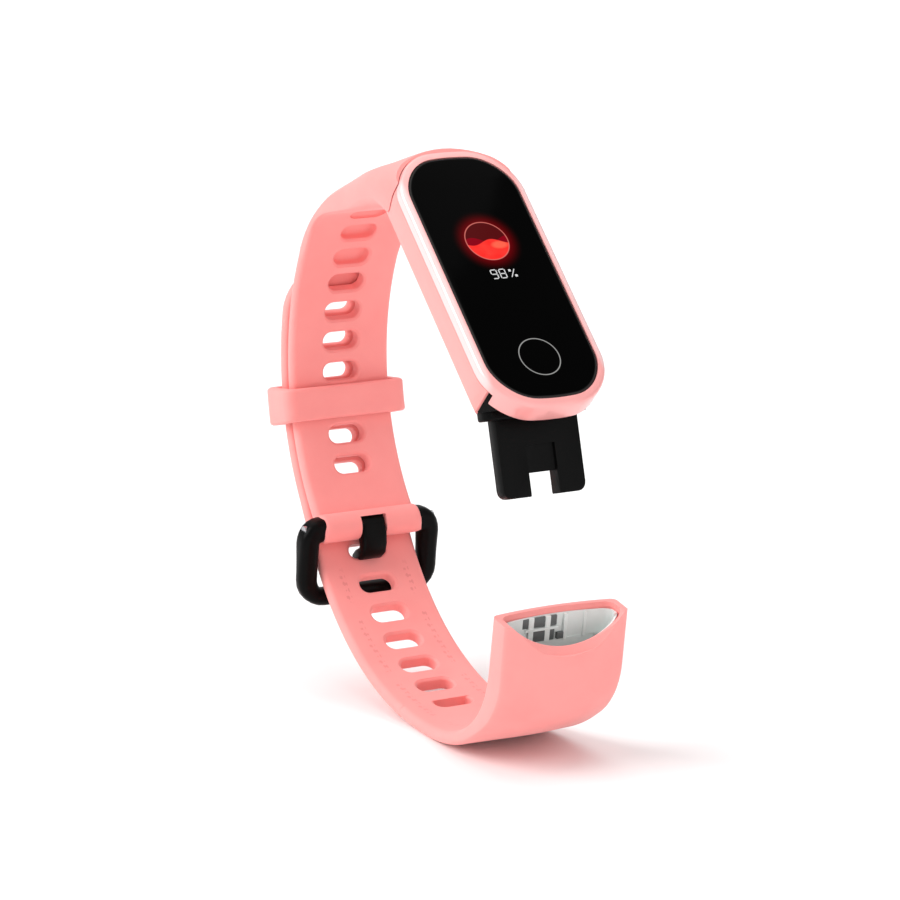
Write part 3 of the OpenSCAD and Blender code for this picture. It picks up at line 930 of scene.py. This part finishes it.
@dataclass
class Strap:
    """A moulded strap lofted along a path, with slots cut through it."""

    name: str
    path: Path
    half_width: Callable[[Vector], float]
    edge: float = 0.75
    soft: Callable[[Vector], float] = lambda p: 0.0
    crown: Callable[[Vector], float] = lambda p: 0.0
    hollow: Callable[[Vector], float] = lambda p: 0.0
    lift: float = 0.2
    most_crown: float = 0.4
    most_hollow: float = 0.27

    def skin(self, fine: int = 5) -> bpy.types.Object:
        """The strap's skin without its slots."""
        sections = []
        for inner, outer in self.path.stations:
            mid = (inner + outer) / 2
            gap = outer - inner
            crown = min(self.crown(mid), gap.length * self.most_crown)
            hollow = min(self.hollow(mid), gap.length * self.most_hollow)
            radius = min(self.edge + self.soft(mid), gap.length / 2 * 0.96)
            sections.append(Section(mid + gap.normalized() * crown * self.lift, X, gap.normalized(),
                                    2 * self.half_width(mid), gap.length + 2 * crown * self.lift, radius,
                                    crown_out=crown, crown_in=hollow))
        return shaped(Loft(corner=fine, wide=10, deep=2).build(sections), LOOP, self.name)

    @staticmethod
    def slot(centre: Vector, angle: float, r_in: float, r_out: float, w: float = 5.5, l: float = 2.6,
             flare: float = 0.38, depth: float = 3.0, blind: bool = False) -> bpy.types.Object:
        """A cutter for one slot, flared where it meets the strap's two faces.

        Args:
            centre: Centre of the strap's arc.
            angle: Angle of the slot on that arc.
            r_in: Radius of the strap's inner face.
            r_out: Radius of the strap's outer face.
            w: Length of the slot across the strap.
            l: Length of the slot along the strap.
            flare: How far the slot widens at each face.
            depth: How far the cutter passes the faces.
            blind: True if the slot stops at r_out with a rounded floor.

        Returns:
            The cutter.
        """
        rise = [math.sin(math.pi / 2 * i / 4) for i in range(5)]
        widen = [flare * (1 - math.sqrt(max(0.0, 1 - (1 - r) ** 2))) for r in rise]
        levels = [(r_in - depth, flare)] + [(r_in + flare * r, g) for r, g in zip(rise, widen)]
        if blind:
            levels += [(r_out - 0.3, 0.0), (r_out - 0.1, -0.1), (r_out, -0.3)]
        else:
            levels += [(r_out - flare * r, g) for r, g in zip(reversed(rise), reversed(widen))]
            levels += [(r_out + depth, flare)]
        sections = [Section(Vector((0, 0, r)), X, Y, w + 2 * g, l + 2 * g, (l + 2 * g) / 2 * 0.98)
                    for r, g in levels]
        bm = Loft(corner=6, wide=1, deep=1).build(sections)
        stand = Stand(angle - 90, (centre.y, centre.z))
        return shaped(bm, stand, "slot")


def along(line: Sequence[Vector], t: float) -> Vector:
    """The point at a share of a polyline's length."""
    spans = [(b - a).length for a, b in zip(line, line[1:])]
    left = t * sum(spans)
    for a, b, span in zip(line, line[1:], spans):
        if left <= span:
            return a.lerp(b, left / span)
        left -= span
    return line[-1]


def upper_half(p: Vector) -> float:
    """Half the buckle strap's width, as wide as the capsule at its root."""
    return 9.25 - 1.5 * ease(17.0, 31.0, p.y) - 0.6 * ease(16.0, 13.0, p.y)


def lower_half(p: Vector) -> float:
    """Half the long strap's width, wider towards the socket."""
    return HALF + 1.5 * ease(12.0, -8.0, p.y)


@dataclass
class BuckleStrap:
    """The short strap from the capsule to the buckle pin."""

    r_in: float = 33.3
    r_out: float = 35.2
    fold: float = 2.05
    crest: float = 22.0
    back: float = 80.0
    bend: float = 6.95
    stations: int = 26

    def path(self) -> Path:
        """Both sides from the root to the fold round the pin."""
        c2 = CB + ray(26) * (self.r_out - self.crest)
        c3 = c2 - ray(62.5) * (self.back - self.crest)
        outer = [c3 + ray(a) * self.back for a in (*range(78, 63, -2), 62.5)]
        outer += [c2 + ray(a) * self.crest for a in range(59, 25, -3)]
        shoulder = side(33.6, -2.8)
        inner = [side(8.0, 4.0), side(11.5, 5.2), side(14.8, 6.35), side(17.3, 7.2)]
        inner += [shoulder + ray(a) * self.bend for a in range(79, 22, -6)] + [CB + ray(30) * self.r_in]
        path = Path()
        for t in (i / self.stations for i in range(self.stations)):
            path.add(along(inner, t), along(outer, t))
        path.arc(CB, self.r_in, self.r_out, 26.0, -37.5, 1.5)
        hub = math.degrees(math.atan2(PIN.z - CB.z, PIN.y - CB.y))
        hold = (PIN - CB).length
        for i in range(13):
            swing = -78 + 165 * i / 12
            a = hub - math.degrees(math.sin(math.radians(swing)) * self.fold / hold)
            half = math.cos(math.radians(swing)) * self.fold
            low, high = hold - half, hold + half
            if swing < 0:
                low, high = min(low, self.r_in), max(high, self.r_out + 0.1)
            path.add(CB + ray(a) * low, CB + ray(a) * high)
        return path

    def build(self) -> None:
        """Builds and dresses the strap."""
        strap = Strap("buckle_band", self.path(), upper_half, edge=0.8,
                      soft=lambda p: 1.5 * ease(32.0, 24.0, p.y),
                      crown=lambda p: 1.2 * ease(27.0, 16.0, p.y) + 1.6 * ease(17.5, 14.0, p.y))
        band = strap.skin()
        cutters = [prism(CAPSULE, -40.0, 30.0, 18.7, 42.0, 6.5, fine=14, bow=BOW),
                   prism(CAPSULE, -24.0, 60.0, 40.0, 75.2, 0.3, y=-22.4),
                   prism(CAPSULE, -0.6, 30.0, 40.0, 60.0, 0.3, y=30.0),
                   prism(LUG, -1.4, 1.4, 10.6, 12.0, 0.1, y=-2.0),
                   prism(LUG, -1.9, 1.2, 9.2, 3.35, 0.1, y=2.775)]
        cutters += [Strap.slot(CB, 42.0 - PITCH * k, self.r_in, 34.6, blind=True) for k in (1, 2)]
        cutters.append(Strap.slot(CB, 41.4, 32.6, 33.65, blind=True))
        cutters += [Strap.slot(CB, 42.4 - PITCH * k, self.r_in, self.r_out) for k in range(3, 10)]
        cutters.append(prism(LOOP, -46.0, -39.5, 4.0, 10.6, 0.3, y=38.9, fine=2))
        carve(band, cutters)
        finish_piece(band, "upper_strap", ["buckle_strap"], Paint.BAND, 42)


@dataclass
class LongStrap:
    """The long strap from its rounded tip round the wrist to the socket."""

    r_in: float = 35.5
    r_out: float = 37.4
    loop_in: float = 36.15
    loop_out: float = 38.05
    split: float = -80.0
    tip_turn: float = 10.6
    tip_reach: float = 36.5

    def build(self) -> None:
        """Builds the tail half and the socket half."""
        self.tail()
        self.loop()

    def tail(self) -> None:
        """The tail under the buckle strap and the first half of the loop."""
        path = Path().arc(CB, self.r_in, self.r_out, 22.6, -30.0, 1.2)
        path.arc(C4, self.loop_in, self.loop_out, -30.0, self.split, 1.5)
        tip = CB + ray(self.tip_turn) * self.tip_reach

        def half(p: Vector) -> float:
            """Half the strap's width, rounded off at the tip."""
            turn = math.degrees(math.atan2(p.z - CB.z, p.y - CB.y))
            if p.y > tip.y - 3 and turn > self.tip_turn and p.z > -40:
                reach = math.radians(turn - self.tip_turn) * self.tip_reach
                return math.sqrt(max(0.5, HALF ** 2 - reach * reach))
            return lower_half(p)

        band = Strap("tail_band", path, half, edge=0.75).skin()
        cutters = [Strap.slot(CB, 11.75 - PITCH * k, self.r_in, self.r_out, w=5.3, l=2.2) for k in range(6)]
        cutters.append(Strap.slot(C4, -33.2, self.loop_in, self.loop_out, l=2.2))
        cutters += [Strap.slot(C4, -33.5 - 8 * k, self.loop_in, self.loop_out) for k in range(1, 6)]
        carve(band, cutters)
        finish_piece(band, "", ["strap_tail"], Paint.LONG, 42)
        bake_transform(band)

    def loop(self) -> None:
        """The second half of the loop, swelling into the socket."""
        c5, c6 = side(-6.029, -48.445), side(2.24, -46.6)
        path = Path().arc(C4, self.loop_in, self.loop_out, self.split, -103.0, 1.5)
        outer = [C4 + ray(a) * self.loop_out for a in range(-103, -119, -2)]
        outer += [c5 + ray(a) * 11.0 for a in range(-121, -172, -3)]
        outer += [self.low(2.95, 4.0), self.low(2.95, 0.0)]
        inner = [C4 + ray(-103) * self.loop_in] + [c6 + ray(a) * 14.0 for a in range(-105, -171, -4)]
        inner += [self.low(-2.5, 2.5), self.low(-2.5, -0.25)]
        for i in range(1, 37):
            path.add(along(inner, i / 36), along(outer, i / 36))
        strap = Strap("loop_band", path, lower_half, edge=0.85, crown=lambda p: 2.1 * ease(-2.0, -15.0, p.y),
                      hollow=lambda p: 0.7 * ease(-2.0, -13.0, p.y))
        band = strap.skin(fine=6)
        cutters = [Strap.slot(C4, -33.5 - 8 * 6, self.loop_in, self.loop_out)]
        mouth = Loft(corner=6, wide=8, deep=1).build([
            Section(Vector((0, -0.1 - lift, z)), X, -Y, w, d, 1.4, crown_out=0.55, crown_in=0.7)
            for z, w, d, lift in ((4.0, 16.8, 4.3, 0.12), (-4.3, 16.8, 4.3, 0.12))])
        cutters += [shaped(mouth, SOCKET, "mouth"), prism(SOCKET, -11.5, -3.9, 14.2, 3.7, 0.6, fine=3),
                    prism(SOCKET, -12.4, 3.0, 13.0, 2.8, 0.3, fine=2),
                    prism(SOCKET, -11.9, -5.7, 3.7, 2.5, 0.1, y=-1.25), self.scoop(3.4, lip=0.9)]
        carve(band, cutters)
        finish_piece(band, "", ["strap_loop", "strap_end"], Paint.LONG, 42)
        LOOP.at(*self.low(-1.5, 13.0))
        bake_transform(band)

    @staticmethod
    def low(t: float, v: float) -> Vector:
        """A side view point of the socket, t outwards and v down from the rim."""
        a = math.radians(9)
        return side(-15.2 - t * math.cos(a) + v * math.sin(a), -42.0 - t * math.sin(a) - v * math.cos(a))

    @staticmethod
    def scoop(depth: float, reach: float = 12.0, lip: float = 0.0) -> bpy.types.Object:
        """The round cut across the outer rim of the socket, with an outward slope if it has a lip."""
        spots = [(Vector((0, y, reach - depth)), r)
                 for y, r in ((-12.0, reach + lip), (-3.35, reach + lip), (-2.5, reach), (-0.8, reach))]
        return shaped(tube(spots, X, Z, 18), SOCKET, "scoop")


@dataclass
class Sleeve:
    """The hard liner inside the socket."""

    def build(self) -> None:
        """Builds and dresses the liner and its rib."""
        tray = soft_block(16.6, 4.2, 1.55, -4.25, -0.6, 0.1, 0.15, y=-0.1, fine=6, bow=0.95)
        deep = soft_block(14.0, 3.6, 0.55, -11.45, -4.2, 0.1, 0.0, fine=3, bow=0.3)
        liner = shaped(tray, SOCKET, "socket_sleeve")
        carve(liner, [shaped(deep, SOCKET, "deep")], "UNION")
        carve(liner, [prism(SOCKET, -4.15, 3.0, 16.0, 3.6, 1.35, y=-0.1, fine=6, bow=0.9),
                      prism(SOCKET, -30.0, -4.0, 13.1, 2.84, 0.3, fine=3),
                      prism(SOCKET, -12.0, -5.7, 3.6, 1.7, 0.05, y=-2.15), LongStrap.scoop(3.9)])
        ribs = [prism(SOCKET, -4.2, -0.7, w, 0.6, 0.1, y=1.52, x=x, fine=2)
                for x, w in ((-3.5, 0.8), (-1.0, 0.8), (1.7, 0.5), (4.6, 0.4), (6.4, 0.4))]
        ribs.append(prism(SOCKET, -2.55, -2.2, 5.0, 0.7, 0.1, y=1.5, x=-1.9, fine=2))
        carve(liner, ribs, "UNION")
        finish_piece(liner, "socket_end", ["socket_liner"], Paint.LINER, 35)
        ledges = ((5.2, 0.35, -2.1, -0.75, 1.52, -2.2), (4.0, 0.4, -4.1, -2.6, 1.46, -1.9),
                  (1.0, 0.5, -4.1, -3.2, 1.44, 1.0))
        catch = merge([soft_block(w, l, 0.1, low, high, 0.05, 0.05, y=y, x=x, fine=2)
                       for w, l, low, high, y, x in ledges])
        finish_piece(shaped(catch, SOCKET, "socket_catch"), "socket_end", [], Paint.CATCH, 35)
        rib = shaped(soft_block(3.6, 2.6, 0.3, -12.35, -10.1, 0.1, 0.25), SOCKET, "socket_key")
        finish_piece(rib, "socket_end", ["socket_rib"], Paint.LINER, 35)


# ---------------------------------------------------------------- buckle


@dataclass
class Buckle:
    """The black frame, its prong and the pin they swing on."""

    half: float = 11.0
    arm: float = 2.9
    hole: float = 0.82

    def build(self) -> None:
        """Builds and dresses the frame and the prong."""
        self.ring()
        self.prong()

    def ring(self) -> None:
        """A rounded bail: two arms, a bar across the bottom and two hubs on the pin."""
        centre = self.half - self.arm / 2
        rise = (PIN - BAR).normalized()
        depth = rise.cross(X).normalized()
        top, low, high = (PIN - BAR).length, 2.8, 1.9
        turn = [math.pi / 2 * i / 6 for i in range(7)]
        spine = [(-7.5, top)]
        spine += [(-centre + high - high * math.sin(a), top - high + high * math.cos(a)) for a in turn]
        spine += [(-centre, top * z) for z in (0.7, 0.55, 0.4)]
        spine += [(-centre + low - low * math.cos(a), low - low * math.sin(a)) for a in turn]
        spine += [(-centre + low + 1.6, 0.0), (0.0, 0.0)]
        spine += [(-x, z) for x, z in reversed(spine[:-1])]
        sections = []
        for i, (x, z) in enumerate(spine):
            before, after = spine[max(i - 1, 0)], spine[min(i + 1, len(spine) - 1)]
            tangent = (X * (after[0] - before[0]) + rise * (after[1] - before[1])).normalized()
            across = tangent.cross(depth).normalized()
            wide = self.arm + 0.45 * ease(top - 1.5, top, z) - 0.35 * ease(2.0, 0.0, z)
            deep = 2.7 + 0.6 * ease(4, 9, z)
            sections.append(Section(BAR + X * x + rise * z, across, depth, wide, deep, 1.15))
        ring = shaped(Loft(corner=6, wide=1, deep=1).build(sections), LOOP, "buckle_ring")
        carve(ring, [self.bore(10.5)])
        finish_piece(ring, "buckle", ["buckle_frame"], Paint.BUCKLE, 40)

    def bore(self, reach: float) -> bpy.types.Object:
        """The hole for the pin, that far to both sides."""
        return shaped(tube([(PIN + X * x, self.hole) for x in (-reach, reach)], Y, Z, 8), LOOP, "bore")

    def prong(self) -> None:
        """The prong: a hub round the pin and a tongue that drops into a slot."""
        bm = Loft(corner=3, wide=1, deep=2).build([
            Section(PIN + X * x, Y, Z, 2 * r, 2 * r, r)
            for x, r in ((-1.9, 1.35), (-1.75, 1.55), (-1.5, 1.6), (1.5, 1.6), (1.75, 1.55), (1.9, 1.35))])
        hub = shaped(bm, LOOP, "prong_tongue")
        line = [(36.6, -41.0, 2.2, 3.6), (36.2, -42.4, 2.3, 3.75), (35.95, -43.6, 1.9, 3.75),
                (36.2, -44.6, 1.8, 3.75), (37.0, -45.2, 1.8, 3.75), (38.0, -45.55, 1.6, 3.7),
                (39.0, -46.1, 1.2, 3.5)]
        spots = [side(y, z) for y, z, _, _ in line]
        sections = []
        for i, (_, _, thick, wide) in enumerate(line):
            tangent = (spots[min(i + 1, len(line) - 1)] - spots[max(i - 1, 0)]).normalized()
            sections.append(Section(spots[i], X, tangent.cross(X).normalized(), wide, thick, 0.5))
        tongue = shaped(Loft(corner=3, wide=2, deep=1).build(sections), LOOP, "tongue")
        carve(hub, [tongue], "UNION")
        carve(hub, [self.bore(5.0)])
        finish_piece(hub, "prong", ["buckle_prong"], Paint.BUCKLE, 40)


@dataclass
class Keeper:
    """The free loop that holds the tail against the strap."""

    half: float = 9.6
    low: float = 31.7
    high: float = 39.0
    wall: float = 1.2
    hole: float = 16.3

    def build(self) -> None:
        """Builds and dresses the loop."""
        mid = (self.low + self.high) / 2
        sections = []
        tall = self.high - self.low
        for a, cut in ((-14.6, 0.3), (-14.35, 0.09), (-14.0, 0.0), (-12.0, 0.0), (-9.0, 0.0), (-7.0, 0.0),
                       (-6.65, 0.09), (-6.4, 0.3)):
            sections.append(Section(CB + ray(a) * mid, X, ray(a), 2 * self.half - 2 * cut, tall - 2 * cut, 1.5))
        loop = shaped(Loft(corner=6, wide=6, deep=3).build(sections), LOOP, "keeper_band")
        hole = [Section(CB + ray(a) * mid, X, ray(a), self.hole + grow, tall - 2 * self.wall + grow, 0.6)
                for a, grow in ((-18.0, 0.5), (-14.8, 0.5), (-14.3, 0.1), (-14.0, 0.0), (-10.5, 0.0),
                                (-7.0, 0.0), (-6.7, 0.1), (-6.2, 0.5), (-3.0, 0.5))]
        carve(loop, [shaped(Loft(corner=4, wide=4, deep=2).build(hole), LOOP, "hole")])
        finish_piece(loop, "keeper", ["keeper_loop"], Paint.BAND, 42)


# ---------------------------------------------------------------- frame parts


INSIDE = {
    Paint.PANEL: ["display_panel"], Paint.RUBBER: ["display_gasket", "light_shield"],
    Paint.PLATE: ["inner_frame", "motor_case"], Paint.BOARD: ["main_board", "plug_board"],
    Paint.CHIP: ["board_chips", "strap_lug"], Paint.CELL: ["battery"],
    Paint.STEEL: ["motor_shaft", "motor_weight", "strap_clip", "buckle_pin", "latch_spring"],
    Paint.FLEX: ["display_flex"], Paint.SENSOR: ["sensor_board"], Paint.DIODE: ["sensor_leds"],
    Paint.GOLD: ["antenna", "plug_contacts"],
}


def dress_frame() -> None:
    """Gives each node of the frame that stays its finish."""
    for paint, nodes in INSIDE.items():
        for name in nodes:
            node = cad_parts[name]
            node.data.materials.clear()
            node.data.materials.append(paint.get())


# ---------------------------------------------------------------- studio


@dataclass
class Studio:
    """Floor, lights and camera."""

    azimuth: float = 29.4
    elevation: float = 12.3
    distance: float = 450.0
    right: float = 6.81
    rise: float = 22.75
    scale: float = 7.70

    def axes(self) -> tuple[Vector, Vector, Vector]:
        """The view's right, up and forward directions."""
        a, e = math.radians(self.azimuth), math.radians(self.elevation)
        right = Vector((math.cos(a), -math.sin(a), 0.0))
        ahead = Vector((math.sin(a) * math.cos(e), math.cos(a) * math.cos(e), -math.sin(e)))
        return right, right.cross(ahead), ahead

    def build(self) -> None:
        """Sets up the whole studio."""
        self.floor()
        self.lights()
        self.camera()

    def floor(self) -> None:
        """A wide, flat pale floor."""
        bm = bmesh.new()
        bmesh.ops.create_grid(bm, x_segments=1, y_segments=1, size=30.0)
        mesh = bpy.data.meshes.new("floor")
        bm.to_mesh(mesh)
        bm.free()
        floor = bpy.data.objects.new("floor", mesh)
        bpy.context.scene.collection.objects.link(floor)
        mesh.materials.append(StudioFloor().material())

    def lights(self) -> None:
        """Soft boxes above, left and behind, and an even white surround."""
        right, _, ahead = self.axes()
        for name, towards, power, spread in (
                ("key", right * -0.9 + Vector((0, 0, 0.6)) - ahead * 0.25, 2.2, 45),
                ("fill", right * 0.6 + Vector((0, 0, 0.3)) - ahead * 0.7, 0.55, 60),
                ("top", Vector((0, 0, 1.0)) + ahead * 0.3, 1.0, 60)):
            lamp = bpy.data.lights.new(name, "SUN")
            lamp.energy = power
            lamp.angle = math.radians(spread)
            obj = bpy.data.objects.new(name, lamp)
            obj.rotation_euler = (-towards).to_track_quat("-Z", "Y").to_euler()
            bpy.context.scene.collection.objects.link(obj)
        world = bpy.data.worlds.new("surround")
        world.use_nodes = True
        back = next(n for n in world.node_tree.nodes if n.type == "BACKGROUND")
        back.inputs["Color"].default_value = (1.0, 1.0, 1.0, 1.0)
        back.inputs["Strength"].default_value = 0.52
        bpy.context.scene.world = world

    def camera(self) -> None:
        """A long lens at the viewing angle."""
        right, up, ahead = self.axes()
        data = bpy.data.cameras.new("camera")
        data.sensor_width = 36.0
        data.lens = self.scale * self.distance / 900.0 * 36.0
        data.clip_start, data.clip_end = 0.05, 20.0
        cam = bpy.data.objects.new("camera", data)
        place = (SHIFT - ahead * self.distance - right * self.right - up * self.rise) * MM
        turn = Matrix((right, up, -ahead)).transposed()
        cam.matrix_world = Matrix.Translation(place) @ turn.to_4x4()
        bpy.context.scene.collection.objects.link(cam)
        bpy.context.scene.camera = cam
        bpy.context.scene.view_settings.view_transform = "Standard"


def main() -> None:
    """Builds the band."""
    logging.basicConfig(level=logging.INFO)
    for group in (Capsule(), Plug(), BuckleStrap(), LongStrap(), Sleeve(), Buckle(), Keeper()):
        group.build()
        log.info("%s done", type(group).__name__)
    dress_frame()
    Studio().build()


if __name__ == "__main__":
    main()
